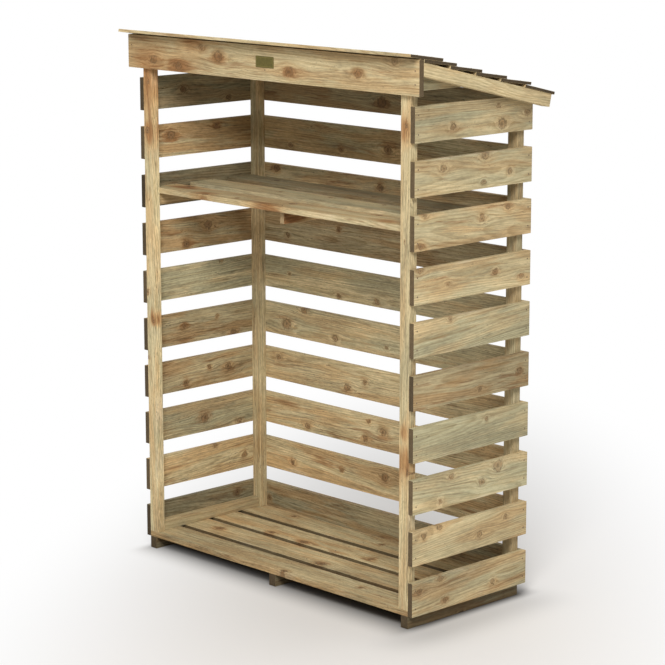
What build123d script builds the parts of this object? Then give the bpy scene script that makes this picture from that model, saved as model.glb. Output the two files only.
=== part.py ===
from build123d import *
import math
import os

# Log store, open at the front. Millimetres, +Z up, front towards -Y.
# The origin is on the ground, in the middle of the whole store's footprint.

# Stock
board_w = 95.0            # width of the slats, floorboards, shelf boards and fascia
board_t = 16.0            # thickness of the same boards
post_w = 35.0             # posts, measured along X
post_d = 26.0             # posts, measured along Y
bearer_w = 26.0           # ground bearers, measured along X
bearer_h = 35.0           # ground bearers, height
floor_batten_w = 26.0     # battens along the foot of each side, measured along X
floor_batten_h = 30.0     # the same, height
shelf_batten_w = 26.0     # battens that carry the ends of the shelf, measured along X
shelf_batten_h = 35.0     # battens under the shelf, height
stiffener_t = 16.0        # middle batten under the shelf, set on edge, measured along X
rafter_t = 30.0           # outer rafters, measured along X
mid_rafter_t = 26.0       # middle rafter, measured along X
rafter_h = 35.0           # rafters, depth square to the slope
roof_t = 8.0              # thickness of a roof board
roof_w = 122.0            # width of a roof board
plate_t = 1.0             # thickness of the plate on the fascia

# Frame
body_w = 1105.0           # over the outer faces of the side slats
frame_d = 440.0           # front face of the front posts to rear face of the rear posts
slat_pitch = 141.7        # from one slat to the next one up
slat_count = 10           # whole slats on each side and on the back
shelf_z = 1070.0          # underside of the shelf boards
floor_gap = 12.0          # least gap between floorboards
shelf_gap = 25.0          # least gap between shelf boards
stiffener_setback = 45.0  # front end of the middle batten, behind the front of the posts

# Roof
roof_slope = 13.2         # fall of the rafters towards the back, degrees
rafter_run = 498.0        # level length of the outer rafters behind the fascia
roof_exposure = 98.0      # greatest level distance from one lapped board to the next
roof_tail = 9.0           # the lowest board overhangs the rafters by this much, down the slope
ridge_overhang = 51.0     # the top board stands this far in front of the posts
roof_lip = 2.0            # the roof boards pass the fascia by this much at each end
gable_gap = 39.3          # open gap between the top side slat and the gable board
gable_h = 76.5            # height of the gable board at the front
gable_toe = 6.0           # height left at the thin end of the gable board
plate_len = 72.0          # bare plate on the fascia
plate_h = 31.0
plate_drop = 28.0         # from the top edge of the fascia down to the plate
plate_corner = 2.0

# Clearances
butt = 0.3                # at the ends of boards that are cut to length between others
seat = 0.2                # between a tilted board and what it lies on

# Places that follow from the sizes, and the top edge of the rafters where they meet the fascia
inner_x = body_w / 2 - board_t
floor_z = bearer_h + board_t
slat_top = bearer_h + (slat_count - 1) * slat_pitch + board_w
rafter_front_z = slat_top + gable_gap + gable_h + seat
shelf_front = post_d + butt
shelf_rear = frame_d - post_d - butt
slope = math.radians(roof_slope)
fall = math.tan(slope)
ridge_y = butt            # the second roof board butts against the back of the fascia
fascia_len = body_w + 2 * rafter_t
roof_len = fascia_len + 2 * roof_lip


def rafter_top(y):
    """Height of the rafters' top edge at a distance y behind the front of the posts."""
    return rafter_front_z - fall * y


def block(x0, x1, y0, y1, z0, z1):
    """Square-edged timber between two corners."""
    return Pos((x0 + x1) / 2, (y0 + y1) / 2, (z0 + z1) / 2) * Box(x1 - x0, y1 - y0, z1 - z0)


def prism_x(outline, x0, x1):
    """Solid with an outline drawn in the Y-Z plane, from x0 to x1."""
    face = make_face(Polyline(*[(0, y, z) for y, z in outline], close=True))
    return Pos(x0, 0, 0) * extrude(face, amount=x1 - x0, dir=(1, 0, 0))


def slat_z(number):
    """Lower edge of a slat, where number 1 is the top one."""
    return bearer_h + (slat_count - number) * slat_pitch


def spread(y0, y1, least_gap):
    """Front edges of boards that fill a depth evenly, as many as leave the least gap."""
    count = math.floor((y1 - y0 + least_gap) / (board_w + least_gap))
    pitch = (y1 - y0 - board_w) / (count - 1)
    return [y0 + i * pitch for i in range(count)]


def make_bearer(x):
    """Ground bearer running from front to back, centred on x."""
    return block(x - bearer_w / 2, x + bearer_w / 2, 0, frame_d, 0, bearer_h)


def make_cross_board(y0, z0):
    """Board that spans the inside of the store, as in the floor and the shelf."""
    return block(-inner_x + butt, inner_x - butt, y0, y0 + board_w, z0, z0 + board_t)


def make_side_batten(side, width, z0, height):
    """Batten inside the slats of one side, between its front and rear posts."""
    xs = sorted([side * (inner_x - butt), side * (inner_x - width)])
    return block(*xs, shelf_front, shelf_rear, z0, z0 + height)


def make_post(side, y0, top_z):
    """Corner post that stands on the floor, inside the slats of one side."""
    xs = sorted([side * inner_x, side * (inner_x - post_w)])
    return block(*xs, y0, y0 + post_d, floor_z, top_z)


def make_side_slats(side):
    """Whole slats of one side, nailed to the outer faces of its posts."""
    xs = sorted([side * inner_x, side * body_w / 2])
    rear = frame_d + board_t
    return [block(*xs, 0, rear, slat_z(n), slat_z(n) + board_w) for n in range(1, slat_count + 1)]


def make_gable_board(side):
    """Tapered board that closes the front of a side up to the slope of the roof."""
    xs = sorted([side * inner_x, side * body_w / 2])
    low = slat_top + gable_gap
    toe = (rafter_front_z - seat - low - gable_toe) / fall
    return prism_x([(0, low), (toe, low), (toe, low + gable_toe), (0, rafter_top(0) - seat)], *xs)


def make_back_slats():
    """Slats of the back, nailed to the rear posts between the ends of the side slats."""
    x = inner_x - butt
    rear = frame_d + board_t
    return [block(-x, x, frame_d, rear, slat_z(n), slat_z(n) + board_w) for n in range(1, slat_count + 1)]


def make_stiffener():
    """Thin batten on edge that ties the shelf boards together in the middle of the span."""
    half = stiffener_t / 2
    return block(-half, half, stiffener_setback, shelf_rear, shelf_z - shelf_batten_h, shelf_z)


def make_outer_rafter(side):
    """Rafter outside a side, behind the end of the fascia, cut square at its lower end."""
    xs = sorted([side * (body_w / 2 + butt), side * (body_w / 2 + rafter_t)])
    drop = rafter_h / math.cos(slope)
    end_top = (rafter_run, rafter_top(rafter_run))
    end_low = (rafter_run - rafter_h * math.sin(slope), rafter_top(rafter_run) - rafter_h * math.cos(slope))
    return prism_x([(butt, rafter_top(butt) - drop), end_low, end_top, (butt, rafter_top(butt))], *xs)


def make_middle_rafter():
    """Rafter under the middle of the roof, between the fascia and the top back slat."""
    drop = rafter_h / math.cos(slope)
    y1 = frame_d - butt
    outline = [(butt, rafter_top(butt) - drop), (y1, rafter_top(y1) - drop)]
    outline += [(y1, rafter_top(y1)), (butt, rafter_top(butt))]
    return prism_x(outline, -mid_rafter_t / 2, mid_rafter_t / 2)


def lay_roof():
    """Places and tilts of the lapped boards, from the lowest one up to the second one.

    A place is the distance down the rafters from the front of the posts to the lower corner of
    a board's upper edge. The lowest board lies flat. The upper edge of every other one rests on
    the rafters and its underside on the upper edge of the board below, which tilts it.

    Returns a list of (place, tilt in radians).
    """
    lowest = rafter_run / math.cos(slope) + roof_tail - roof_w
    highest = ridge_y / math.cos(slope)
    laps = math.ceil((lowest - highest) * math.cos(slope) / roof_exposure)
    laid = [(lowest, 0.0)]
    for rank in range(1, laps + 1):
        place = lowest - (lowest - highest) * rank / laps
        below, below_tilt = laid[-1]
        run = below - roof_t * math.sin(below_tilt) - place
        rise = roof_t * math.cos(below_tilt)
        tilt = math.atan2(rise, run) + math.asin(seat / math.hypot(rise, run))
        laid.append((place, tilt))
    return laid


def roof_plane(place, tilt):
    """Location of a board's upper edge, with X along the board and Y down the board's slope."""
    y = place * math.cos(slope) + seat * math.sin(slope)
    z = rafter_front_z - place * math.sin(slope) + seat * math.cos(slope)
    return Pos(0, y, z) * Rot(math.degrees(tilt - slope), 0, 0)


def make_roof_boards():
    """Roof boards from the top one, which covers the fascia, down to the lowest one."""
    board = Pos(0, roof_w / 2, roof_t / 2) * Box(roof_len, roof_w, roof_t)
    laid = lay_roof()
    lapped = [roof_plane(*place_and_tilt) * board for place_and_tilt in laid]
    second_tilt = laid[-1][1]
    lean = slope - second_tilt
    forward = (ridge_overhang + ridge_y + (roof_t + seat) * math.sin(lean)) / math.cos(lean)
    top = roof_plane(*laid[-1]) * Pos(0, -forward, roof_t + seat) * board
    return [top] + lapped[::-1]


def fascia_top_z():
    """Height at which the back of the fascia meets the underside of the top roof board."""
    lean = slope - lay_roof()[-1][1]
    return rafter_front_z + roof_t / math.cos(lean) - seat


def make_fascia():
    """Board across the front, over the tops of the posts and the ends of the rafters."""
    top = fascia_top_z()
    return block(-fascia_len / 2, fascia_len / 2, -board_t, 0, top - board_w, top)


def make_plate():
    """Small bare plate in the middle of the fascia."""
    outline = RectangleRounded(plate_len, plate_h, plate_corner)
    z = fascia_top_z() - plate_drop - plate_h / 2
    return Pos(0, -board_t, z) * Rot(90, 0, 0) * extrude(outline, amount=plate_t)


nodes = {}
bearer_x = inner_x - bearer_w / 2
for name, x in {"left": -bearer_x, "middle": 0, "right": bearer_x}.items():
    nodes[f"bearer_{name}"] = [make_bearer(x)]
for i, y in enumerate(spread(0, frame_d, floor_gap)):
    nodes[f"floorboard_{i + 1}"] = [make_cross_board(y, bearer_h)]
front_post_top = rafter_top(post_d) - butt
for name, side in {"left": -1, "right": 1}.items():
    nodes[f"floor_batten_{name}"] = [make_side_batten(side, floor_batten_w, floor_z, floor_batten_h)]
    nodes[f"front_post_{name}"] = [make_post(side, 0, front_post_top)]
    nodes[f"rear_post_{name}"] = [make_post(side, frame_d - post_d, slat_top)]
    nodes[f"side_slats_{name}"] = make_side_slats(side)
    nodes[f"gable_board_{name}"] = [make_gable_board(side)]
    under_shelf = shelf_z - shelf_batten_h
    nodes[f"shelf_batten_{name}"] = [make_side_batten(side, shelf_batten_w, under_shelf, shelf_batten_h)]
    nodes[f"rafter_{name}"] = [make_outer_rafter(side)]
nodes["back_slats"] = make_back_slats()
for i, y in enumerate(spread(shelf_front, shelf_rear, shelf_gap)):
    nodes[f"shelf_board_{i + 1}"] = [make_cross_board(y, shelf_z)]
nodes["shelf_batten_middle"] = [make_stiffener()]
nodes["fascia"] = [make_fascia()]
nodes["rafter_middle"] = [make_middle_rafter()]
for i, board in enumerate(make_roof_boards()):
    nodes[f"roof_board_{i + 1}"] = [board]
nodes["plate"] = [make_plate()]

# The origin goes to the middle of the footprint, which the roof sets.
boxes = [solid.bounding_box() for solids in nodes.values() for solid in solids]
low = min(box.min.Y for box in boxes)
high = max(box.max.Y for box in boxes)
centre = Pos(0, -(low + high) / 2, 0)

os.makedirs("parts", exist_ok=True)
for name, solids in nodes.items():
    export_step(Compound(children=[centre * solid for solid in solids]), f"parts/{name}.step")
print(len(nodes), "nodes; front", round(low, 2), "rear", round(high, 2), "of the posts' front")
print("height", round(max(box.max.Z for box in boxes), 2), "fascia top", round(fascia_top_z(), 2))
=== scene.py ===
"""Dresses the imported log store: sawn timber, nails and the bare plate, with its studio and camera."""
import logging
import math
import random
from dataclasses import dataclass, field
from enum import Enum
from typing import Any, Callable, ClassVar, Iterable, Union

import bmesh
import bpy
from mathutils import Matrix, Vector


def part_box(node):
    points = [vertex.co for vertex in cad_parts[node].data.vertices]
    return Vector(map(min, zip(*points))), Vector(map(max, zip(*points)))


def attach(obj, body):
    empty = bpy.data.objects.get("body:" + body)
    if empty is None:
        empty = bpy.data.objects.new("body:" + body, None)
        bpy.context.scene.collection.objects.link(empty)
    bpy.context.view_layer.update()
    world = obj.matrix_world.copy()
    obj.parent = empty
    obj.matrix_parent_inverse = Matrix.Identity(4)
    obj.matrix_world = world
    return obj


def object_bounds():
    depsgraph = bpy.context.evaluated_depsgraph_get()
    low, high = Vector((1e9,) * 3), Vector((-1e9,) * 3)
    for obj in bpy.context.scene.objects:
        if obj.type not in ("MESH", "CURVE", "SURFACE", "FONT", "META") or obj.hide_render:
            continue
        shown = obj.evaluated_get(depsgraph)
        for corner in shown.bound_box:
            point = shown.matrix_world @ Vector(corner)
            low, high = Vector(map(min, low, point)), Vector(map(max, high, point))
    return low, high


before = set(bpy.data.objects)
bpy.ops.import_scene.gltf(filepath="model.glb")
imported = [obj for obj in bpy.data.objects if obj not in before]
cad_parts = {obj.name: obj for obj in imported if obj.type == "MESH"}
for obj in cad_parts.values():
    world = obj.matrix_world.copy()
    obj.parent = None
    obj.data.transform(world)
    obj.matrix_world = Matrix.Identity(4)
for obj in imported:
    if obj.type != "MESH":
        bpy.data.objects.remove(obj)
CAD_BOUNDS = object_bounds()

log = logging.getLogger("log store")

PHOTO_PIXELS = 665
MM_PER_METRE = 1000

# The slats of the sides and the back: their number, width and rise, and the lowest one's edge, in metres
SLAT_COUNT = 10
SLAT_WIDTH = 0.095
SLAT_PITCH = 0.1417
SLAT_FIRST = 0.035

WHITE = (1.0, 1.0, 1.0)
BLACK = (0.0, 0.0, 0.0)
UP = Vector((0, 0, 1))
Colour = tuple[float, float, float]
Value = Union["Sock", float, int, tuple]
Trio = tuple["Sock", "Sock", "Sock"]


# Shader tools


def operator(operation: str, swapped: bool = False) -> Callable[["Sock", Value], "Sock"]:
    """A Python operator for shader values, which adds one Math node."""

    def act(value: "Sock", other: Value) -> "Sock":
        """The Math node's output for the value and the other one."""
        operands = (other, value) if swapped else (value, other)
        return value.tree.math(operation, *operands)

    return act


class Sock:
    """A shader value. Python's operators on it add Math nodes."""

    __add__, __radd__ = operator("ADD"), operator("ADD", swapped=True)
    __sub__, __rsub__ = operator("SUBTRACT"), operator("SUBTRACT", swapped=True)
    __mul__, __rmul__ = operator("MULTIPLY"), operator("MULTIPLY", swapped=True)
    __truediv__, __rtruediv__ = operator("DIVIDE"), operator("DIVIDE", swapped=True)
    __pow__ = operator("POWER")

    def __init__(self, tree: "Tree", socket: bpy.types.NodeSocket) -> None:
        """Keeps the tree and the output socket that this value comes from."""
        self.tree = tree
        self.socket = socket


class Tree:
    """The node tree of one material, built by expressions."""

    def __init__(self, nodes: bpy.types.NodeTree) -> None:
        """Empties a material's or a world's tree, so that only this script's nodes are in it."""
        self.tree = nodes
        self.tree.nodes.clear()

    def node(self, kind: str, settings: dict[str, Any] | None = None,
             values: dict[Any, Value] | None = None, out: Any = 0) -> Sock:
        """Adds a node.

        Args:
            kind: The node's type name.
            settings: Its settings, set first. The key "stops" fills a ramp with (place, colour) pairs.
            values: Numbers, colours or links for its input sockets, by name or number.
            out: The output socket wanted.

        Returns:
            The wanted output.
        """
        made = self.tree.nodes.new(kind)
        for key, setting in (settings or {}).items():
            if key == "stops":
                self._fill_ramp(made.color_ramp, setting)
            elif key == "interpolation":
                made.color_ramp.interpolation = setting
            else:
                setattr(made, key, setting)
        for key, value in (values or {}).items():
            self._feed(made.inputs[key], value)
        return Sock(self, made.outputs[out]) if len(made.outputs) else Sock(self, None)

    def _fill_ramp(self, ramp: bpy.types.ColorRamp, stops: Iterable[tuple[float, tuple]]) -> None:
        """Gives a ramp its stops, each a place and a colour of three or four numbers."""
        while len(ramp.elements) > 1:
            ramp.elements.remove(ramp.elements[-1])
        for number, (place, colour) in enumerate(stops):
            stop = ramp.elements[0] if number == 0 else ramp.elements.new(place)
            stop.position = place
            stop.color = tuple(colour) + (1.0,) * (4 - len(colour))

    def _feed(self, socket: bpy.types.NodeSocket, value: Value) -> None:
        """Links or sets one input socket."""
        if isinstance(value, Sock):
            self.tree.links.new(value.socket, socket)
        elif isinstance(value, tuple) and socket.type == "RGBA":
            socket.default_value = tuple(value) + (1.0,) * (4 - len(value))
        else:
            socket.default_value = value

    def math(self, operation: str, *operands: Value) -> Sock:
        """One Math node on up to three operands."""
        return self.node("ShaderNodeMath", {"operation": operation}, dict(enumerate(operands)))

    def step(self, value: Value, low: float, high: float) -> Sock:
        """A smooth step from 0 at low to 1 at high."""
        return self.node("ShaderNodeMapRange", {"interpolation_type": "SMOOTHSTEP"},
                         {0: value, 1: low, 2: high, 3: 0.0, 4: 1.0})

    def join(self, x: Value, y: Value, z: Value) -> Sock:
        """A vector from three values."""
        return self.node("ShaderNodeCombineXYZ", None, {0: x, 1: y, 2: z})

    def split(self, vector: Sock) -> Trio:
        """The three values of a vector."""
        parts = self.node("ShaderNodeSeparateXYZ", None, {0: vector})
        outs = parts.socket.node.outputs
        return Sock(self, outs[0]), Sock(self, outs[1]), Sock(self, outs[2])

    def noise(self, vector: Sock, detail: float = 2.0, roughness: float = 0.5) -> Sock:
        """Soft noise, about 0.5 on average, at a scale of 1."""
        return self.node("ShaderNodeTexNoise", {"noise_dimensions": "3D"},
                         {"Vector": vector, "Scale": 1.0, "Detail": detail, "Roughness": roughness})

    def grain(self, place: Trio, scales: tuple[float, float], shift: tuple = (0.0, 0.0),
              detail: float = 2.0, roughness: float = 0.5) -> Sock:
        """Soft noise, drawn out along the grain.

        Args:
            place: The place along, across and through the board.
            scales: The noise's scale along the grain, and its scale across and through the board.
            shift: What moves it along and across, so that boards differ.
            detail: The noise's detail.
            roughness: The noise's roughness.

        Returns:
            Noise of about 0.5 on average.
        """
        along, across = place[0] * scales[0] + shift[0], place[1] * scales[1] + shift[1]
        return self.noise(self.join(along, across, place[2] * scales[1]), detail, roughness)

    def tone(self, colour: Value, tone: Value) -> Sock:
        """Darkens or lightens a colour by one number."""
        return self.mix(1.0, colour, self.join(tone, tone, tone), "MULTIPLY")

    def mix(self, factor: Value, first: Value, second: Value, blend: str = "MIX") -> Sock:
        """Mixes two colours by a factor."""
        settings = {"data_type": "RGBA", "blend_type": blend, "clamp_factor": True}
        return self.node("ShaderNodeMix", settings, {0: factor, 6: first, 7: second}, out=2)

    def principled(self, **values: Value) -> None:
        """Ends the tree with a Principled surface. An underscore in a name stands for a space."""
        inputs = {name.replace("_", " "): value for name, value in values.items()}
        self.surface(self.node("ShaderNodeBsdfPrincipled", None, inputs))

    def surface(self, shader: Sock, kind: str = "ShaderNodeOutputMaterial") -> None:
        """Ends the tree with its output."""
        self.node(kind, None, {"Surface": shader})


def new_object(name: str, data: bpy.types.ID) -> bpy.types.Object:
    """A new object in the scene."""
    thing = bpy.data.objects.new(name, data)
    bpy.context.scene.collection.objects.link(thing)
    return thing


def new_mesh(name: str, shape: bmesh.types.BMesh) -> bpy.types.Mesh:
    """A mesh of what bmesh has made."""
    mesh = bpy.data.meshes.new(name)
    shape.to_mesh(mesh)
    shape.free()
    return mesh


def turned_to(way: Vector) -> Matrix:
    """The turn that points Z along a direction."""
    return way.to_track_quat("Z", "Y").to_matrix().to_4x4()


def new_material(name: str) -> tuple[bpy.types.Material, Tree]:
    """A new material and its empty tree."""
    material = bpy.data.materials.new(name)
    material.use_nodes = True
    return material, Tree(material.node_tree)


# Finishes


class Lie(Enum):
    """How a board lies: the axes along its grain, across its face and through its thickness."""

    SIDE = "YZX"
    WALL = "XZY"
    DECK = "XYZ"
    POST = "ZXY"


@dataclass(frozen=True)
class Knot:
    """A knot on a board.

    Attributes:
        along: Its place along the grain, in metres in the object's frame.
        across: Its place across the face, from the board's middle, in metres.
        radius: Its radius in metres.
    """

    along: float
    across: float
    radius: float


def knots_at(*spots: tuple[float, float, float]) -> tuple[Knot, ...]:
    """Knots, or stains, from places along and across a board and radii, all in millimetres."""
    return tuple(Knot(*(part / MM_PER_METRE for part in spot)) for spot in spots)


@dataclass(frozen=True)
class Look:
    """The colouring of a board.

    Attributes:
        shade: The brightness of its wood.
        green: How green the preservative has left it.
        rust: How strong its reddish brown streaks are.
        end: The brightness of its sawn ends, against its faces.
        bite: The contrast of its grain.
        flank: The brightness of its narrow sides, against its faces, which paints shade on them.
        knot: How dark its knots are.
    """

    shade: float = 1.0
    green: float = 0.35
    rust: float = 0.35
    end: float = 1.0
    bite: float = 1.0
    flank: float = 1.0
    knot: float = 1.0


@dataclass(frozen=True)
class Timber:
    """Sawn, treated softwood: rings in solid wood, with the knots that its grain swerves round.

    Attributes:
        name: The material's name.
        lie: How the board lies.
        centre: The board's middle, in the object's frame.
        size: The board's length, width and thickness.
        look: Its colouring, or one for each board of a rack.
        knots: Its knots, or a tuple of them for each board of a rack, from the lowest up.
        wild: Whether knots are also strewn by chance, for boards that the photo doesn't show.
        lean: The board's tilt about X, in radians.
        rack: Whether the node holds all the slats of a wall.
        stains: Reddish stains on a single board, placed like knots.

    RING is a year ring's width, SLANT how far the grain may lean and RELIEF its depth. STRETCH makes
    knots longer along the grain, and SWERVE and SWERVE_FALL lead the grain round them. CHANCE_CELL is
    the room of a chance knot, and ABSENT stands for a knot that a rack's board lacks. Ramps hold 0 to 1,
    so RAMP_METRES and RAMP_SHADES pack what goes into them.
    """

    name: str
    lie: Lie
    centre: Vector
    size: Vector
    look: Any
    knots: tuple
    wild: bool
    lean: float
    rack: bool
    stains: tuple

    PALE: ClassVar[Colour] = (0.592, 0.486, 0.284)
    OLIVE: ClassVar[Colour] = (0.425, 0.390, 0.246)
    WARM: ClassVar[Colour] = (0.520, 0.350, 0.172)
    RUST: ClassVar[Colour] = (0.270, 0.130, 0.050)
    STAIN: ClassVar[Colour] = (0.370, 0.195, 0.078)
    WORN: ClassVar[Colour] = (0.700, 0.605, 0.430)
    LINE: ClassVar[Colour] = (0.535, 0.470, 0.375)
    KNOT: ClassVar[Colour] = (0.285, 0.196, 0.104)
    RIM: ClassVar[Colour] = (0.075, 0.047, 0.024)
    END: ClassVar[Colour] = (0.120, 0.085, 0.046)

    RING: ClassVar[float] = 0.0044
    SLANT: ClassVar[float] = 0.14
    ROUGHNESS: ClassVar[float] = 0.72
    RELIEF: ClassVar[float] = 0.0009
    STRETCH: ClassVar[float] = 0.86
    SWERVE: ClassVar[float] = 0.72
    SWERVE_FALL: ClassVar[float] = -0.20
    CHANCE_CELL: ClassVar[float] = 0.20
    NO_KNOT_NEAR: ClassVar[float] = 30.0
    ABSENT: ClassVar[Knot] = Knot(9.0, 0.0, 0.001)
    RAMP_METRES: ClassVar[float] = 10.0
    RAMP_SHADES: ClassVar[float] = 2.0

    def build(self) -> bpy.types.Material:
        """Makes the material.

        Returns:
            The material, which reads Object coordinates only.
        """
        material, tree = new_material(self.name)
        along, across, through = self._board_axes(tree)
        board, across = self._board_number(tree, across)
        bite = self._first_look().bite
        seed = random.Random(self.name).random() * 97.0
        luck = tree.split(tree.node("ShaderNodeTexWhiteNoise", {"noise_dimensions": "1D"},
                                    {"W": board + seed}, out="Color"))
        near, swerve = self._nearest_knot(tree, (along, across, through), board, luck)
        edge = across / self.size.y
        place = (along, across - swerve + along * ((luck[1] - 0.5) * self.SLANT), through)
        rings = self._rings(tree, place, near, luck)
        shade, green, rust, end = self._look_values(tree, board)
        fibre = tree.grain(place, (8.0, 330.0), (luck[0] * 50.0, 0.0), 4.0, 0.65)
        saw = tree.grain(place, (260.0, 12.0), (0.0, luck[1] * 30.0), 1.0)
        colour = self._wood_colour(tree, place, luck, green, rust, near, edge)
        colour = self._grain_lines(tree, colour, place, luck, rings, fibre, bite)
        colour = self._knot_colour(tree, colour, near, place)
        colour = self._end_colour(tree, colour, place, luck, rings, end)
        colour = tree.tone(colour, shade)
        height = fibre * 0.55 + rings * 0.25 + saw * 0.35
        bump = tree.node("ShaderNodeBump", None,
                         {"Strength": 0.5, "Distance": self.RELIEF, "Height": height})
        rough = self.ROUGHNESS + fibre * 0.22
        tree.principled(Base_Color=colour, Roughness=rough, Normal=bump, Specular_IOR_Level=0.25)
        return material

    def _board_axes(self, tree: Tree) -> Trio:
        """The place on the board: along its grain, across its face and through its thickness."""
        x, y, z = tree.split(tree.node("ShaderNodeTexCoord", out="Object"))
        middle = Vector(self.centre)
        if self.lean:
            cos, sin = math.cos(self.lean), math.sin(self.lean)
            y, z = y * cos - z * sin, y * sin + z * cos
            middle = Vector((middle.x, middle.y * cos - middle.z * sin, middle.y * sin + middle.z * cos))
        axes = dict(zip("XYZ", (x, y, z)))
        middles = dict(zip("XYZ", middle))
        first, second, third = self.lie.value
        return axes[first], axes[second] - middles[second], axes[third] - middles[third]

    def _board_number(self, tree: Tree, across: Sock) -> tuple[Value, Sock]:
        """The number of the board in its rack, from the lowest up, and the place across that board."""
        if not self.rack:
            return across * 0.0, across
        height = across + self.centre.z
        half_gap = (SLAT_PITCH - self.size.y) / 2
        board = tree.math("FLOOR", (height - (SLAT_FIRST - half_gap)) / SLAT_PITCH)
        return board, height - board * SLAT_PITCH - (SLAT_FIRST + self.size.y / 2)

    def _of_board(self, tree: Tree, board: Value, rows: list[tuple]) -> Sock:
        """Picks one row of up to three numbers for each board of a rack, as a colour."""
        count = len(rows)
        stops = [(number / count, row) for number, row in enumerate(rows)]
        place = (board + 0.5) / count
        return tree.node("ShaderNodeValToRGB", {"interpolation": "CONSTANT", "stops": stops}, {0: place})

    def _look_values(self, tree: Tree, board: Value) -> tuple[Value, Value, Value, Value]:
        """Shade, green, rust and end brightness, by board where the node is a rack."""
        if isinstance(self.look, Look):
            return self.look.shade, self.look.green, self.look.rust, self.look.end
        rows = [(look.shade / self.RAMP_SHADES, look.green, look.rust) for look in self.look]
        packed, green, rust = tree.split(self._of_board(tree, board, rows))
        return packed * self.RAMP_SHADES, green, rust, self._first_look().end

    def _first_look(self) -> Look:
        """The board's look, or that of the lowest board of a rack."""
        return self.look if isinstance(self.look, Look) else self.look[0]

    def _nearest_knot(self, tree: Tree, place: Trio, board: Value, luck: Trio) -> tuple[Sock, Value]:
        """The distance to the nearest knot, in its radii, and how far the grain swerves."""
        along, across, through = place
        wobble = tree.noise(tree.join(along * 85.0, across * 85.0, through * 20.0 + luck[2] * 9.0), 2.0)
        ragged = tree.noise(tree.join(along * 95.0 + 7.0, across * 95.0, through * 20.0), 2.0)
        u = (along + (wobble - 0.5) * 0.016) * self.STRETCH
        v = across + (ragged - 0.5) * 0.013
        near: Value = self.NO_KNOT_NEAR
        swerve: Value = 0.0
        for at, up, radius in self._knot_places(tree, board):
            ahead, aside = (u - at * self.STRETCH) / radius, (v - up) / radius
            near = tree.math("MINIMUM", near, (ahead ** 2.0 + aside ** 2.0) ** 0.5)
            reach = (ahead * 0.5) ** 2.0 + aside ** 2.0
            swerve = swerve + aside * radius * self._swerve_at(tree, reach)
        if self.wild:
            near, swerve = self._chance_knots(tree, (u, v), luck, near, swerve)
        return near if isinstance(near, Sock) else across * 0.0 + near, swerve

    def _swerve_at(self, tree: Tree, reach: Sock) -> Sock:
        """How strongly the grain swerves, by the square of the distance to the knot in its radii."""
        return tree.math("EXPONENT", reach * self.SWERVE_FALL) * self.SWERVE

    def _chance_knots(self, tree: Tree, spot: tuple[Sock, Sock], luck: Trio,
                      near: Value, swerve: Value) -> tuple[Sock, Sock]:
        """Adds knots strewn by chance to the distance to the nearest knot and to the grain's swerve."""
        cell = self.CHANCE_CELL
        first, second = spot[0] / cell + luck[0] * 31.0, spot[1] / cell + luck[1] * 17.0
        away = tree.node("ShaderNodeTexVoronoi", {"voronoi_dimensions": "2D", "feature": "F1"},
                         {"Vector": tree.join(first, second, 0.0), "Scale": 1.0}, "Distance")
        outs = away.socket.node.outputs
        tint = tree.split(Sock(tree, outs["Color"]))
        heart = tree.split(Sock(tree, outs["Position"]))
        radius = 0.003 + (tint[0] ** 2.0) * 0.011
        near = tree.math("MINIMUM", near, away * cell / radius)
        reach = (((first - heart[0]) * 0.5) ** 2.0 + (second - heart[1]) ** 2.0) * cell * cell
        aside = (second - heart[1]) * cell
        return near, swerve + aside * self._swerve_at(tree, reach / (radius * radius))

    def _knot_places(self, tree: Tree, board: Value) -> list[tuple[Value, Value, Value]]:
        """Each knot's place along and across and its radius. In a rack one place serves every board."""
        if not self.rack:
            return [(knot.along, knot.across, knot.radius) for knot in self.knots]
        places = []
        for turn in range(max((len(row) for row in self.knots), default=0)):
            rows = []
            for row in self.knots:
                knot = row[turn] if turn < len(row) else self.ABSENT
                rows.append((knot.along / self.RAMP_METRES + 0.5, knot.across + 0.5, knot.radius))
            at, up, radius = tree.split(self._of_board(tree, board, rows))
            places.append(((at - 0.5) * self.RAMP_METRES, up - 0.5, radius))
        return places

    def _rings(self, tree: Tree, place: Trio, near: Sock, luck: Trio) -> Sock:
        """The yearly rings: 0 in the pale early wood and 1 in the dark late wood."""
        along, across, through = place
        drift = tree.noise(tree.join(along * 1.7 + luck[0] * 40.0, luck[1] * 13.0, luck[2] * 7.0), 2.0)
        side = across - (luck[0] - 0.5) * 0.09 - (drift - 0.5) * 0.06
        deep = through + 0.022 + luck[1] * 0.050 + (drift - 0.5) * 0.035
        radius = (side ** 2.0 + deep ** 2.0) ** 0.5 + along * ((luck[2] - 0.5) * 0.03)
        bend = tree.math("EXPONENT", (near ** 2.0) * -0.28) * 0.0055
        ripple = tree.grain(place, (5.0, 30.0)) * 0.0040
        uneven = tree.noise(tree.join(radius * 90.0, luck[0] * 20.0, 0.0), 1.0) * 0.004
        ring = tree.math("FRACT", (radius + bend + ripple + uneven) / self.RING)
        return tree.step(ring, 0.30, 0.86) * tree.step(ring, 1.0, 0.92)

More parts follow.
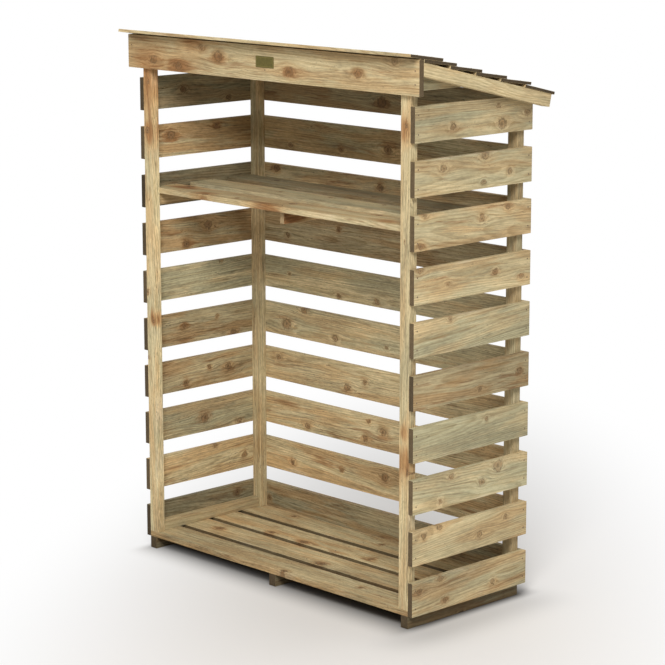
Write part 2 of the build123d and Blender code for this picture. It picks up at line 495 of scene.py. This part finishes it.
    def _wood_colour(self, tree: Tree, place: Trio, luck: Trio, green: Value, rust: Value,
                     near: Sock, edge: Sock) -> Sock:
        """Soft zones of pale, olive and warm wood, with stains, rusty streaks and worn edges."""
        along, across, _ = place
        wash = tree.grain(place, (3.2, 17.0), (luck[2] * 80.0, 0.0), 3.0, 0.6)
        greened = tree.step(wash + green * 0.16, 0.44, 0.68) * (green * 1.3)
        colour = tree.mix(greened, self.PALE, self.OLIVE)
        heat = tree.grain(place, (4.2, 27.0), (luck[1] * 60.0, 9.0), 3.0, 0.6)
        glow = tree.math("EXPONENT", (near ** 2.0) * -0.20) * self._first_look().knot
        flush: Value = 0.0
        for stain in self.stains:
            away = (along - stain.along) ** 2.0 + (edge * self.size.y - stain.across) ** 2.0 * 3.0
            flush = tree.math("MAXIMUM", flush, tree.math("EXPONENT", away * (-1.0 / stain.radius ** 2)))
        sway = tree.noise(tree.join(along * 2.6 + luck[0] * 30.0, across * 4.0, 0.0), 2.0)
        band = edge * ((luck[2] - 0.5) * 3.2) + (sway - 0.5) * 0.9
        stained = glow * (0.10 + rust * 0.26) + tree.step(band, 0.22, 0.42) * 0.10 + flush * 0.38
        warm = tree.step(heat + rust * 0.12 + stained, 0.50, 0.68)
        colour = tree.mix(warm * (0.24 + rust * 0.95 + flush * 0.35), colour, self.WARM)
        streak = tree.grain(place, (6.0, 62.0), (luck[0] * 90.0, 0.0), 3.0, 0.65)
        soak = tree.step(flush + (streak - 0.5) * 0.9 + (heat - 0.5) * 0.8, 0.30, 0.95)
        colour = tree.mix(soak * 0.72, colour, self.STAIN)
        deep = tree.step(streak + glow * (0.04 + rust * 0.20) + rust * 0.05 + flush * 0.14, 0.60, 0.72)
        colour = tree.mix(deep * (0.18 + rust * 0.72 + flush * 0.25), colour, self.RUST)
        wear_at = tree.join(along * 5.5 + luck[0] * 70.0, edge * 2.2 + luck[1] * 9.0, 0.0)
        wear = tree.noise(wear_at, 3.0, 0.6)
        worn = tree.step(tree.math("ABSOLUTE", edge) + (wear - 0.5) * 1.3, 0.50, 0.78)
        return tree.mix(worn * 0.42, colour, self.WORN)

    def _grain_lines(self, tree: Tree, colour: Sock, place: Trio, luck: Trio, rings: Sock,
                     fibre: Sock, bite: float) -> Sock:
        """Ring lines, veins, fibres and clustered dark specks."""
        vein = tree.grain(place, (2.2, 120.0), (0.0, luck[2] * 70.0), 3.0, 0.6)
        cloud = tree.grain(place, (13.0, 30.0), (luck[1] * 60.0, 0.0), 3.0)
        speck = tree.grain(place, (55.0, 320.0), (0.0, luck[0] * 33.0), 2.0, 0.6)
        specks = tree.step(speck, 0.58, 0.68) * tree.step(cloud, 0.50, 0.60)
        lines = rings * 0.40 + tree.step(vein, 0.50, 0.68) * 0.42
        colour = tree.mix(lines, colour, tree.mix(1.0, colour, self.LINE, "MULTIPLY"))
        fine = (vein - 0.5) * 0.45 + (fibre - 0.5) * 1.15 + (speck - 0.5) * 0.70 - specks * 0.48
        patch = tree.grain(place, (2.4, 11.0), (luck[2] * 50.0, 0.0), 1.0)
        tone = 1.0 + (cloud - 0.5) * 0.50 + (patch - 0.5) * 0.75 + fine * bite
        return tree.tone(colour, tone)

    def _knot_colour(self, tree: Tree, colour: Sock, near: Sock, place: Trio) -> Sock:
        """Smudged knots with rings of their own, a dark heart and rim, and a faint halo."""
        along, across, through = place
        smudge = tree.noise(tree.join(along * 150.0, across * 190.0, through * 60.0), 2.0, 0.6)
        reach = near + (smudge - 0.5) * 1.5
        inner = tree.math("SINE", reach * 9.0) * 0.35 + smudge
        core = tree.mix(inner, self.RUST, self.KNOT)
        dark = self._first_look().knot
        colour = tree.mix(tree.step(reach, 1.30, 0.80) * (0.72 * dark), colour, core)
        heart = tree.step(reach, 0.55, 0.15)
        rim = tree.math("EXPONENT", ((reach - 1.0) ** 2.0) * -24.0) * tree.step(smudge, 0.28, 0.54)
        halo = tree.math("EXPONENT", ((reach - 1.9) ** 2.0) * -7.0) * tree.step(smudge, 0.40, 0.62)
        colour = tree.mix(halo * (0.24 * dark), colour, self.RUST)
        black = tree.math("MAXIMUM", heart * (0.75 * dark), rim * (0.35 + 0.35 * dark))
        return tree.mix(black, colour, self.RIM)

    def _end_colour(self, tree: Tree, colour: Sock, place: Trio, luck: Trio, rings: Sock,
                    end: Value) -> Sock:
        """The sawn ends, darker and greyer with rings and dirt, and the painted shade of the narrow
        sides.
        """
        normal = tree.split(tree.node("ShaderNodeTexCoord", out="Normal"))
        mask, narrow = (tree.step(tree.math("ABSOLUTE", normal["XYZ".index(axis)]), 0.60, 0.92)
                        for axis in self.lie.value[:2])
        flank = self._first_look().flank
        # Painted shade: the narrow sides are darkened and browned against the board's faces.
        if flank != 1.0:
            flank_shaded = tree.mix(1.0, colour, (flank, flank * 0.92, flank * 0.84), "MULTIPLY")
            colour = tree.mix(narrow, colour, flank_shaded)
        dirt = tree.grain(place, (30.0, 95.0), (luck[1] * 12.0, 0.0), 3.0, 0.6)
        tone = (0.55 + dirt * 0.90 - rings * 0.15) * end
        return tree.mix(mask, colour, tree.tone(self.END, tone))


@dataclass(frozen=True)
class NailSteel:
    """Zinc plated nail heads, gone dull and brown at their rims."""

    name: str = "dull nail steel"
    steel: Colour = (0.200, 0.160, 0.105)
    rust: Colour = (0.120, 0.070, 0.034)

    def build(self) -> bpy.types.Material:
        """Makes the material."""
        material, tree = new_material(self.name)
        spot = tree.split(tree.node("ShaderNodeTexCoord", out="Object"))
        spots = tree.noise(tree.join(*(axis * 420.0 for axis in spot)), 2.0)
        rusty = tree.step(spots, 0.42, 0.62)
        tree.principled(Base_Color=tree.mix(rusty, self.steel, self.rust),
                        Metallic=0.30 - rusty * 0.25, Roughness=0.60 + rusty * 0.25)
        return material


@dataclass(frozen=True)
class PlatePaint:
    """Olive green paint on thin metal, with a paler line inside its edge."""

    half: tuple[float, float]
    centre: Vector
    name: str = "olive plate paint"
    ground: Colour = (0.088, 0.072, 0.010)
    line: Colour = (0.250, 0.205, 0.055)

    def build(self) -> bpy.types.Material:
        """Makes the material."""
        material, tree = new_material(self.name)
        x, _, z = tree.split(tree.node("ShaderNodeTexCoord", out="Object"))
        edge_x = self.half[0] - tree.math("ABSOLUTE", x - self.centre.x)
        edge_z = self.half[1] - tree.math("ABSOLUTE", z - self.centre.z)
        inset = tree.math("MINIMUM", edge_x, edge_z)
        line = tree.step(inset, 0.0022, 0.0027) * tree.step(inset, 0.0038, 0.0033)
        wear = tree.noise(tree.join(x * 160.0, 0.0, z * 160.0), 3.0)
        colour = tree.mix(line * 0.6, self.ground, self.line)
        colour = tree.mix(tree.step(wear, 0.4, 0.9) * 0.35, colour, self.line)
        tree.principled(Base_Color=colour, Roughness=0.36 + wear * 0.2, Specular_IOR_Level=0.4)
        return material


# Sub-assemblies


class Maker:
    """What the sub-assemblies share: the dressing of CAD boards and the making of nails."""

    lie: Lie = Lie.SIDE
    ARRIS: ClassVar[float] = 0.0010
    WELD: ClassVar[float] = 0.00002
    NAIL_HEAD: ClassVar[float] = 0.0024
    NAIL_RIM: ClassVar[float] = 0.72
    NAIL_RISE: ClassVar[float] = 0.00045
    NAIL_SUNK: ClassVar[float] = 0.0002
    NAIL_SIDES: ClassVar[int] = 10

    def dress_board(self, node: str, look: Any, knots: tuple = (), stains: tuple = (),
                    wild: bool = False, lean: float = 0.0, rack: bool = False,
                    lie: Lie | None = None) -> None:
        """Gives a CAD board its own timber and a softened arris.

        Args:
            node: The CAD node's name.
            look: The board's colouring, or a tuple of them for a rack.
            knots: Its knots, as the numbers for knots_at, or a tuple of them for each board of a rack.
            stains: Reddish stains on a single board, as such numbers.
            wild: Whether knots are strewn by chance as well.
            lean: The board's tilt about X, in radians.
            rack: Whether the node holds all the slats of a wall.
            lie: How the board lies, where it isn't the sub-assembly's own.
        """
        low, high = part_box(node)
        lie = lie or self.lie
        sides = dict(zip("XYZ", high - low))
        size = Vector([sides[axis] for axis in lie.value])
        if rack:
            size.y = SLAT_WIDTH
        knots = tuple(knots_at(*row) for row in knots) if rack else knots_at(*knots)
        timber = Timber(f"timber {node}", lie, (low + high) / 2, size, look, knots, wild, lean,
                        rack, knots_at(*stains))
        self.finish_node(node, timber.build())

    def finish_node(self, node: str, material: bpy.types.Material) -> None:
        """Puts a material on a CAD node and softens its edges with live modifiers."""
        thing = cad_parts[node]
        for held in thing.material_slots:
            held.material = material
        weld = thing.modifiers.new("weld", "WELD")
        weld.merge_threshold = self.WELD
        bevel = thing.modifiers.new("arris", "BEVEL")
        bevel.width = self.ARRIS
        bevel.segments = 2
        bevel.limit_method = "ANGLE"
        bevel.angle_limit = math.radians(30)
        bevel.harden_normals = True
        log.info("dressed %s", node)

    def nail(self) -> None:
        """Makes the sub-assembly's nails. Some have none of their own."""

    def make_nails(self, name: str, places: list[tuple[Vector, Vector]], slot: str) -> None:
        """Makes one piece of many nail heads.

        Args:
            name: The piece's name.
            places: For each nail, the point on the wood under its head, and the way it faces.
            slot: The record's material slot. It is not used.
        """
        nails = bmesh.new()
        for place, facing in places:
            seat = Matrix.Translation(place + facing * (self.NAIL_RISE - self.NAIL_SUNK))
            bmesh.ops.create_cone(nails, cap_ends=True, cap_tris=False, segments=self.NAIL_SIDES,
                                  radius1=self.NAIL_HEAD, radius2=self.NAIL_HEAD * self.NAIL_RIM,
                                  depth=self.NAIL_RISE * 2, matrix=seat @ turned_to(facing))
        piece = new_object(name, new_mesh(name, nails))
        piece.data.materials.append(NAIL_FINISH)
        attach(piece, "root")
        log.info("made %s: %d nails", name, len(places))


def pair(low: float, high: float, inset: float) -> tuple[float, float]:
    """Two places, each the same distance inside an edge."""
    return low + inset, high - inset


def nails_over(boards: Iterable[str], carriers: Iterable[str], inset: float) -> list[tuple]:
    """Nail places on boards that lie flat, two over each carrier, with the way that the nails face."""
    places = []
    for board in boards:
        low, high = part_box(board)
        for carrier in carriers:
            first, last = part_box(carrier)
            for y in pair(low.y, high.y, inset):
                places.append((Vector(((first.x + last.x) / 2, y, high.z)), UP))
    return places


@dataclass
class GroundFrame(Maker):
    """The bearers, the floorboards on them and the battens along each side.

    Attributes:
        bearer_names: The three bearers.
        board_names: The four floorboards, from the front.
        nail_inset: The distance of the nails from a board's edges.
    """

    bearer_names: tuple[str, ...] = ("bearer_left", "bearer_middle", "bearer_right")
    board_names: tuple[str, ...] = ("floorboard_1", "floorboard_2", "floorboard_3", "floorboard_4")
    nail_inset: float = 0.020
    # The bearers' faces are darkened partly for their darker wood and partly as painted shade under the
    # floor's edge, and their ends are brightened against that. The battens are darkened as painted shade
    # at the inner foot of the walls.
    bearer_look: Look = Look(shade=0.30, green=0.30, rust=0.60, end=2.4)
    batten_look: Look = Look(shade=0.86, green=0.35, rust=0.30)

    def dress(self) -> None:
        """Dresses the bearers, floorboards and battens."""
        for name in self.bearer_names:
            self.dress_board(name, self.bearer_look, wild=True)
        # The floorboards' narrow sides are painted shade: dark in the gaps, and a little darker on the
        # front board's front face.
        boards = (
            (Look(0.86, 0.30, 0.35, bite=1.6, flank=0.85), ((40, -40, 10), (300, 10, 7))),
            (Look(0.98, 0.15, 0.50, bite=1.4, flank=0.32), ((60, -30, 12), (-410, 2, 10))),
            (Look(1.00, 0.20, 0.65, bite=1.4, flank=0.32),
             ((-270, -30, 9), (-130, -32, 10), (130, -10, 9))),
            (Look(0.90, 0.35, 0.40, bite=1.4, flank=0.32), ((50, 0, 9), (-350, 20, 7))),
        )
        for name, (look, knots) in zip(self.board_names, boards):
            self.dress_board(name, look, knots, lie=Lie.DECK)
        for name in ("floor_batten_left", "floor_batten_right"):
            self.dress_board(name, self.batten_look)

    def nail(self) -> None:
        """Nails each floorboard to each bearer with two nails."""
        places = nails_over(self.board_names, self.bearer_names, self.nail_inset)
        self.make_nails("floor_nails", places, "floor")


@dataclass
class CornerPosts(Maker):
    """The four posts that stand inside the corners."""

    lie: Lie = Lie.POST

    def dress(self) -> None:
        """Dresses the posts, each with its look, its knots and its stains."""
        left_knots = ((1255, -3, 7), (1395, 4, 5), (1052, 1, 2), (777, -14, 6), (695, 10, 5),
                      (582, -14, 4))
        left_stains = ((1400, 0, 110), (1250, 0, 40), (700, 10, 30))
        right_knots = ((1354, 3, 4), (1052, -1, 2), (431, 14, 4))
        right_stains = ((1340, 0, 40), (460, 0, 50), (540, 0, 30))
        for name, look, knots, stains in (
                ("front_post_left", Look(1.28, 0.50, 0.36, bite=1.6), left_knots, left_stains),
                ("front_post_right", Look(1.01, 0.38, 0.26, bite=1.6), right_knots, right_stains),
                ("rear_post_left", Look(0.93, 0.30, 0.35, bite=1.8), (), ()),
                # The rear right post is darkened as painted shade, for the shade behind the right wall's
                # slats.
                ("rear_post_right", Look(0.84, 0.45, 0.25, bite=1.3), (), ())):
            self.dress_board(name, look, knots, stains)


@dataclass
class SlatWall(Maker):
    """Slats above one another, nailed to a post at each end, with two nails each.

    Attributes:
        node: The CAD node of all the slats.
        nails: The name of the nails' piece.
        facing: The wall's outward direction.
        looks: The slats' colouring, from the lowest up.
        knots: The slats' knots, from the lowest up, as the numbers for knots_at.
        lie: How the slats lie.
        gable: The tapered board above them, if there is one.
        nail_inset: The distance of the nails from a slat's edges.
        nail_run: How far the nails stand in from a slat's ends.
    """

    node: str
    nails: str
    facing: Vector
    looks: tuple[Look, ...]
    knots: tuple
    lie: Lie = Lie.SIDE
    gable: str = ""
    nail_inset: float = 0.022
    nail_run: float = 0.013

    def dress(self) -> None:
        """Dresses the slats and the tapered board."""
        self.dress_board(self.node, self.looks, self.knots, rack=True)
        if self.gable:
            self.dress_board(self.gable, self.looks[-1], wild=True)

    def nail(self) -> None:
        """Nails each slat to both posts with two nails."""
        low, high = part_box(self.node)
        run, _, out = ("XYZ".index(axis) for axis in self.lie.value)
        outer = high if self.facing[out] > 0 else low
        places = []
        for number in range(SLAT_COUNT):
            foot = SLAT_FIRST + number * SLAT_PITCH
            for z in pair(foot, foot + SLAT_WIDTH, self.nail_inset):
                for end in pair(low[run], high[run], self.nail_run):
                    spot = outer.copy()
                    spot[run], spot.z = end, z
                    places.append((spot, self.facing))
        self.make_nails(self.nails, places, "slat")


@dataclass
class Shelf(Maker):
    """The shelf's boards and the battens that carry them.

    Attributes:
        board_names: The three boards, from the front.
        batten_names: The battens under the boards.
        nail_inset: The distance of the nails from a board's edges.
    """

    lie: Lie = Lie.DECK
    board_names: tuple[str, ...] = ("shelf_board_1", "shelf_board_2", "shelf_board_3")
    batten_names: tuple[str, ...] = ("shelf_batten_left", "shelf_batten_middle", "shelf_batten_right")
    nail_inset: float = 0.020

    def dress(self) -> None:
        """Dresses the boards and battens."""
        boards = (
            (Look(0.95, 0.30, 0.40),
             ((-7, 17, 9), (-310, -38, 6), (-193, -23, 6), (310, 40, 7), (-460, 30, 10)),
             ((-460, 10, 60), (-330, -30, 45), (-50, -45, 60), (400, -20, 40))),
            (Look(0.90, 0.65, 0.15), ((-20, 31, 5), (190, 36, 6), (-200, 5, 5)), ()),
            # The rear board is darker, partly for its own wood and partly as painted shade under the
            # roof. Its narrow sides are painted shade, dark in the gap.
            (Look(0.66, 0.55, 0.25, flank=0.6), ((-380, 10, 8), (60, -20, 6)), ()),
        )
        for name, (look, knots, stains) in zip(self.board_names, boards):
            self.dress_board(name, look, knots, stains)
        left, middle, right = self.batten_names
        for name in (left, right):
            self.dress_board(name, Look(0.80, 0.25, 0.45, end=1.5), lie=Lie.SIDE)
        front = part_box(middle)[0].y * MM_PER_METRE
        self.dress_board(middle, Look(0.95, 0.10, 0.80, end=3.4), lie=Lie.SIDE,
                         stains=((front + 20, -10, 45),))

    def nail(self) -> None:
        """Nails each shelf board to the battens with two nails."""
        places = nails_over(self.board_names, self.batten_names, self.nail_inset)
        self.make_nails("shelf_nails", places, "shelf")


@dataclass
class Roof(Maker):
    """The rafters, the lapped boards on them and the fascia across the front.

    Attributes:
        slope: The roof's slope in radians.
        board_names: The six boards, from the top one down.
        rafter_names: The three rafters.
        nail_insets: How far a board's nails stand in from its lower edge.
        fascia_inset: The distance of the fascia's nails from its edges.
    """

    lie: Lie = Lie.DECK
    slope: float = math.radians(13.2)
    board_names: tuple[str, ...] = tuple(f"roof_board_{number}" for number in range(1, 7))
    rafter_names: tuple[str, ...] = ("rafter_left", "rafter_middle", "rafter_right")
    nail_insets: tuple[float, float] = (0.026, 0.080)
    fascia_inset: float = 0.030

    def dress(self) -> None:
        """Dresses the rafters, the boards and the fascia."""
        for name in self.rafter_names:
            self.dress_board(name, Look(1.02, 0.15, 0.25), ((50, -4, 5),),
                             lean=self.slope, lie=Lie.SIDE)
        for name in self.board_names:
            self.dress_board(name, Look(0.90, 0.35, 0.35, end=0.62), wild=True, lean=self.slope)
        knots = ((-190, 8, 13), (-265, 28, 7), (-360, -30, 9), (95, -17, 11), (360, -5, 10),
                 (495, 37, 9), (-470, -20, 11))
        stains = ((-490, -30, 90), (-370, -34, 60), (-190, 8, 26), (95, -17, 22), (360, -5, 22),
                  (-300, 45, 60))
        self.dress_board("fascia", Look(0.90, 0.10, 0.45, bite=1.1, knot=0.45), knots, stains,
                         lie=Lie.WALL)

    def nail(self) -> None:
        """Nails the boards and the fascia to the rafters."""
        up = Vector((0, math.sin(self.slope), math.cos(self.slope)))
        down = Vector((0, math.cos(self.slope), -math.sin(self.slope)))
        middles = []
        for rafter in self.rafter_names:
            low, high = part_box(rafter)
            middles.append((low.x + high.x) / 2)
        places = [(Vector((x, spot.y, spot.z)), up)
                  for name in self.board_names
                  for x in middles
                  for spot in self._board_top(name, down)]
        self.make_nails("roof_nails", places, "roof")
        low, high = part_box("fascia")
        forward = Vector((0, -1, 0))
        places = [(Vector((x, low.y, z)), forward)
                  for x in middles
                  for z in pair(low.z, high.z, self.fascia_inset)]
        self.make_nails("fascia_nails", places, "fascia")

    def _board_top(self, name: str, down: Vector) -> list[Vector]:
        """Two points on a roof board's upper face, in from its lower edge."""
        corners = {tuple(round(part, 6) for part in vertex.co)[1:]
                   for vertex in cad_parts[name].data.vertices}
        points = sorted((Vector((0, y, z)) for y, z in corners), key=lambda point: point.dot(down))
        upper, lower = (max(edge, key=lambda point: point.z) for edge in (points[:2], points[2:]))
        run = (lower - upper).normalized()
        return [lower - run * inset for inset in self.nail_insets]


@dataclass
class Plate(Maker):
    """The small plate on the fascia, left bare."""

    ARRIS: ClassVar[float] = 0.0003

    def dress(self) -> None:
        """Paints the plate."""
        low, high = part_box("plate")
        size = high - low
        paint = PlatePaint((size.x / 2, size.z / 2), (low + high) / 2)
        self.finish_node("plate", paint.build())


# Studio


@dataclass
class Studio:
    """A pale floor that fades to white, a white surround, soft lamps and the camera.

    Attributes:
        azimuth: The camera's azimuth in degrees, 0 in front and 90 on the right.
        elevation: The camera's height above the level, in degrees.
        roll: The camera's roll in degrees.
        distance: From the camera to the target, in metres.
        focal_pixels: The focal length in pixels of the photo.
        target: The point that the camera looks at.
        ambient: The strength of the soft light from all round.
        aim: The point that the lamps look at.
        floor_radius: The floor's radius.
        floor_seen: The floor's colour to the camera.
        floor_lit: The floor's colour to the light, which it throws back on the store.
        fade_centre: The middle of the oval in which the floor is darkest, a pool of painted shade round
            the store.
        fade_reach: The oval's reach along its long and its short way, for a fade distance of 1.
        fade_turn: The turn of the oval's long way from X, in radians.
        fade_steps: The fade distances at which the fade begins and is whole.
        beside_x: Where the soft shadow painted on the floor beside the store is deepest.
        beside_depth: How dark it is.
        contact: The colour of the contact shadow painted under the store.
        contact_depth: How far the floor takes on that colour.
    """

    SENSOR_MM: ClassVar[float] = 36.0
    FLOOR_DROP: ClassVar[float] = 0.0005
    AMBIENT_COLOUR: ClassVar[Colour] = (1.0, 0.985, 0.965)
    LAMP_COLOUR: ClassVar[Colour] = (1.0, 0.985, 0.96)

    azimuth: float = 46.004
    elevation: float = 11.570
    roll: float = -0.039
    distance: float = 6.845
    focal_pixels: float = 2407.1
    target: Vector = field(default_factory=lambda: Vector((0.01017, 0.0, 0.7034)))
    ambient: float = 0.28
    aim: Vector = field(default_factory=lambda: Vector((0.0, 0.0, 0.75)))
    floor_radius: float = 14.0
    floor_seen: Colour = (0.757, 0.741, 0.727)
    floor_lit: Colour = (0.90, 0.885, 0.86)
    fade_centre: tuple[float, float] = (1.183, -1.124)
    fade_reach: tuple[float, float] = (2.391, 0.649)
    fade_turn: float = -0.868
    fade_steps: tuple[float, float] = (0.383, 1.873)
    beside_x: float = 0.60
    beside_depth: float = 0.28
    contact: Colour = (0.030, 0.025, 0.020)
    contact_depth: float = 0.89

    def build(self) -> None:
        """Builds the whole studio."""
        self._camera()
        self._surround()
        self._floor()
        self._lamp("key", (2.95, -3.15, 4.00), 2.0, 266.0)
        self._lamp("top", (0.0, 0.9, 4.8), 3.0, 60.0)

    def _camera(self) -> None:
        """Sets the camera at the photo's viewpoint."""
        turn, lift = math.radians(self.azimuth), math.radians(self.elevation)
        back = Vector((math.sin(turn) * math.cos(lift), -math.cos(turn) * math.cos(lift),
                       math.sin(lift)))
        lens = bpy.data.cameras.new("camera")
        lens.sensor_width = self.SENSOR_MM
        lens.lens = self.focal_pixels * self.SENSOR_MM / PHOTO_PIXELS
        camera = new_object("camera", lens)
        roll = Matrix.Rotation(math.radians(self.roll), 4, "Z")
        camera.matrix_world = (Matrix.Translation(self.target + back * self.distance)
                               @ turned_to(back) @ roll)
        bpy.context.scene.camera = camera

    def _surround(self) -> None:
        """Makes the world: white to the eye, in mirrors and through glass, and else a soft light."""
        world = bpy.data.worlds.new("surround")
        bpy.context.scene.world = world
        world.use_nodes = True
        tree = Tree(world.node_tree)
        seen = tree.node("ShaderNodeLightPath", out="Is Camera Ray")
        rays = seen.socket.node.outputs
        for ray in ("Is Glossy Ray", "Is Transmission Ray"):
            seen = tree.math("MAXIMUM", seen, Sock(tree, rays[ray]))
        light = tree.node("ShaderNodeBackground", None,
                          {"Color": self.AMBIENT_COLOUR, "Strength": self.ambient})
        white = tree.node("ShaderNodeBackground", None, {"Color": WHITE, "Strength": 1.0})
        both = tree.node("ShaderNodeMixShader", None, {0: seen, 1: light, 2: white})
        tree.surface(both, "ShaderNodeOutputWorld")

    def _floor(self) -> None:
        """Makes the floor."""
        shape = bmesh.new()
        bmesh.ops.create_circle(shape, cap_ends=True, segments=64, radius=self.floor_radius)
        floor = new_object("floor", new_mesh("floor", shape))
        floor.location.z = CAD_BOUNDS[0][2] - self.FLOOR_DROP
        floor.data.materials.append(self._floor_material())

    def _floor_material(self) -> bpy.types.Material:
        """The pale floor, with shade painted near the store, which keeps the store's shadow and fades to
        white away from it.
        """
        material, tree = new_material("pale floor")
        x, y, _ = tree.split(tree.node("ShaderNodeTexCoord", out="Object"))
        cos, sin = math.cos(self.fade_turn), math.sin(self.fade_turn)
        east, north = x - self.fade_centre[0], y - self.fade_centre[1]
        long_way = (east * cos + north * sin) / self.fade_reach[0]
        short_way = (north * cos - east * sin) / self.fade_reach[1]
        away = (long_way ** 2.0 + short_way ** 2.0) ** 0.5
        # Painted shadow: the floor is darkened in a strip along the store's right side, towards its
        # front.
        beside = tree.math("EXPONENT", ((x - self.beside_x) ** 2.0) * -160.0)
        beside = beside * tree.step(y, 0.36, 0.18) * tree.step(y, -0.45, -0.2)
        # Painted contact shadow: the floor under the store and just in front of it takes on a near black
        # colour, and there it does not fade to white.
        under = tree.step(y, -0.33, -0.15) * tree.step(y, 0.30, 0.20)
        under = under * tree.step(tree.math("ABSOLUTE", x), 0.58, 0.53)
        seen = tree.node("ShaderNodeLightPath", out="Is Camera Ray")
        colour = tree.mix(seen, self.floor_lit, self.floor_seen)
        # The painted shadows darken the floor's colour: black beside the store, and the contact colour
        # under it.
        colour = tree.mix(beside * self.beside_depth, colour, BLACK)
        colour = tree.mix(under * self.contact_depth, colour, self.contact)
        matt = tree.node("ShaderNodeBsdfDiffuse", None, {"Color": colour})
        white = tree.node("ShaderNodeEmission", None, {"Color": WHITE, "Strength": 1.0})
        # Painted shade: to the camera the floor's grey shows in an oval near the store, as a pool of
        # shade, and fades to white emission away from it.
        fade = tree.step(away, *self.fade_steps) * seen * (1.0 - under)
        tree.surface(tree.node("ShaderNodeMixShader", None, {0: fade, 1: matt, 2: white}))
        return material

    def _lamp(self, name: str, place: tuple[float, float, float], size: float, watts: float) -> None:
        """Adds one soft square lamp, looking at the store's middle."""
        data = bpy.data.lights.new(name, "AREA")
        data.shape = "SQUARE"
        data.size = size
        data.energy = watts
        data.color = self.LAMP_COLOUR
        lamp = new_object(name, data)
        lamp.matrix_world = Matrix.Translation(Vector(place)) @ turned_to(Vector(place) - self.aim)


# The one steel that all nails share

NAIL_FINISH = NailSteel().build()


def looks_of(*rows: tuple[float, float, float], **rest: float) -> tuple[Look, ...]:
    """Looks from the boards' shade, green and rust, from the lowest up. The rest is the same for all."""
    return tuple(Look(*row, **rest) for row in rows)


def right_wall() -> SlatWall:
    """The right side, with the knots that the photo shows. The lowest look states how dark they are."""
    looks = (Look(0.88, 0.50, 0.45, knot=0.62),) + looks_of(
        (0.95, 0.45, 0.40), (1.11, 0.75, 0.10), (0.95, 0.95, 0.0), (0.66, 0.20, 0.65),
        (1.06, 0.75, 0.20), (1.0, 0.45, 0.45), (0.96, 0.35, 0.50), (0.95, 0.55, 0.30),
        (0.88, 0.75, 0.20))
    knots = (
        ((-120, 40, 8), (90, -15, 7), (-200, 20, 8), (-100, -25, 7)),
        ((-185, 30, 8), (-125, 45, 8), (35, -10, 8), (140, 20, 7)),
        ((41, -4, 9), (-123, -29, 6), (-79, 34, 7), (107, 29, 15)),
        ((57, 28, 6),),
        ((190, 0, 8), (30, -25, 6)),
        ((-90, 40, 6),),
        ((-205, 45, 8), (85, 5, 8), (-100, -5, 6), (190, -20, 7)),
        ((135, 35, 7), (30, 15, 9), (-205, -35, 9), (-190, 45, 6)),
        ((40, 40, 11), (-120, 20, 9), (140, -10, 8), (35, -30, 7)),
        ((105, -22, 13), (-85, -15, 8), (205, 0, 9), (90, 27, 6)),
    )
    return SlatWall("side_slats_right", "side_nails_right", Vector((1, 0, 0)), looks, knots,
                    gable="gable_board_right")


def left_wall() -> SlatWall:
    """The left side, seen from within."""
    # The shades are partly the slats' own tone and partly painted shade: the lowest slat, the one by the
    # shelf and the top one are darkened for the shade at the foot, by the shelf and under the roof.
    looks = looks_of(
        (0.54, 0.6, 0.3), (1.05, 0.3, 0.5), (0.86, 0.7, 0.3), (0.78, 0.2, 0.7), (0.72, 0.3, 0.7),
        (0.96, 0.9, 0.1), (0.73, 0.2, 0.8), (0.43, 0.6, 0.3), (0.89, 0.2, 0.8), (0.61, 0.8, 0.3),
        bite=1.6, knot=0.85)
    knots = (
        ((120, 20, 8),),
        ((150, -5, 7), (33, 44, 6)),
        ((-9, -5, 12), (131, -38, 8)),
        ((86, -1, 10), (10, 9, 5), (-82, -28, 7)),
        ((-89, 6, 6), (44, 18, 3), (110, -40, 9)),
        ((60, 44, 6),),
        ((13, 18, 11), (-74, -31, 8)),
        ((-40, 0, 6),),
        ((-127, 14, 10), (50, 30, 6)),
        ((-78, 3, 9), (100, -32, 8)),
    )
    return SlatWall("side_slats_left", "side_nails_left", Vector((-1, 0, 0)), looks, knots,
                    gable="gable_board_left")


def back_wall() -> SlatWall:
    """The back, with the knots that the photo shows."""
    # The shades are partly the slats' own tone and partly painted shade: the lowest slat, the one under
    # the shelf and the top one are darkened for the shade at the foot, under the shelf and under the
    # roof.
    looks = looks_of(
        (0.63, 0.60, 0.60), (0.97, 0.20, 0.65), (1.01, 0.20, 0.60), (0.97, 0.05, 0.45),
        (1.06, 0.55, 0.25), (1.00, 0.65, 0.20), (0.63, 0.10, 0.60), (0.80, 0.20, 0.65),
        (1.00, 0.50, 0.45), (0.56, 0.35, 0.55), bite=1.5, knot=0.85)
    knots = (
        ((-490, -4, 6),),
        ((15, 15, 11), (-385, -13, 7), (-170, 0, 5)),
        ((4, 8, 10), (-318, -29, 8), (-68, -26, 8), (-55, 29, 4)),
        ((-445, 24, 8), (-72, 4, 7), (-145, -24, 9)),
        ((-408, -11, 15), (-332, 42, 10), (-195, -24, 8), (18, -21, 5)),
        ((-396, 4, 4), (-182, -37, 7), (-23, -31, 8)),
        ((-182, 22, 5), (-402, -22, 7)),
        ((-450, 35, 9), (-10, 20, 9)),
        ((22, -9, 12), (-172, -25, 6), (-388, -31, 7)),
        ((-5, -15, 13),),
    )
    return SlatWall("back_slats", "back_nails", Vector((0, 1, 0)), looks, knots, Lie.WALL,
                    nail_run=0.017)


def main() -> None:
    """Builds the studio and every sub-assembly."""
    logging.basicConfig(level=logging.INFO, format="%(name)s: %(message)s")
    bpy.context.scene.view_settings.view_transform = "Standard"
    Studio().build()
    for part in (GroundFrame(), CornerPosts(), right_wall(), left_wall(), back_wall(), Shelf(), Roof(),
                 Plate()):
        part.dress()
        part.nail()


if __name__ == "__main__":
    main()
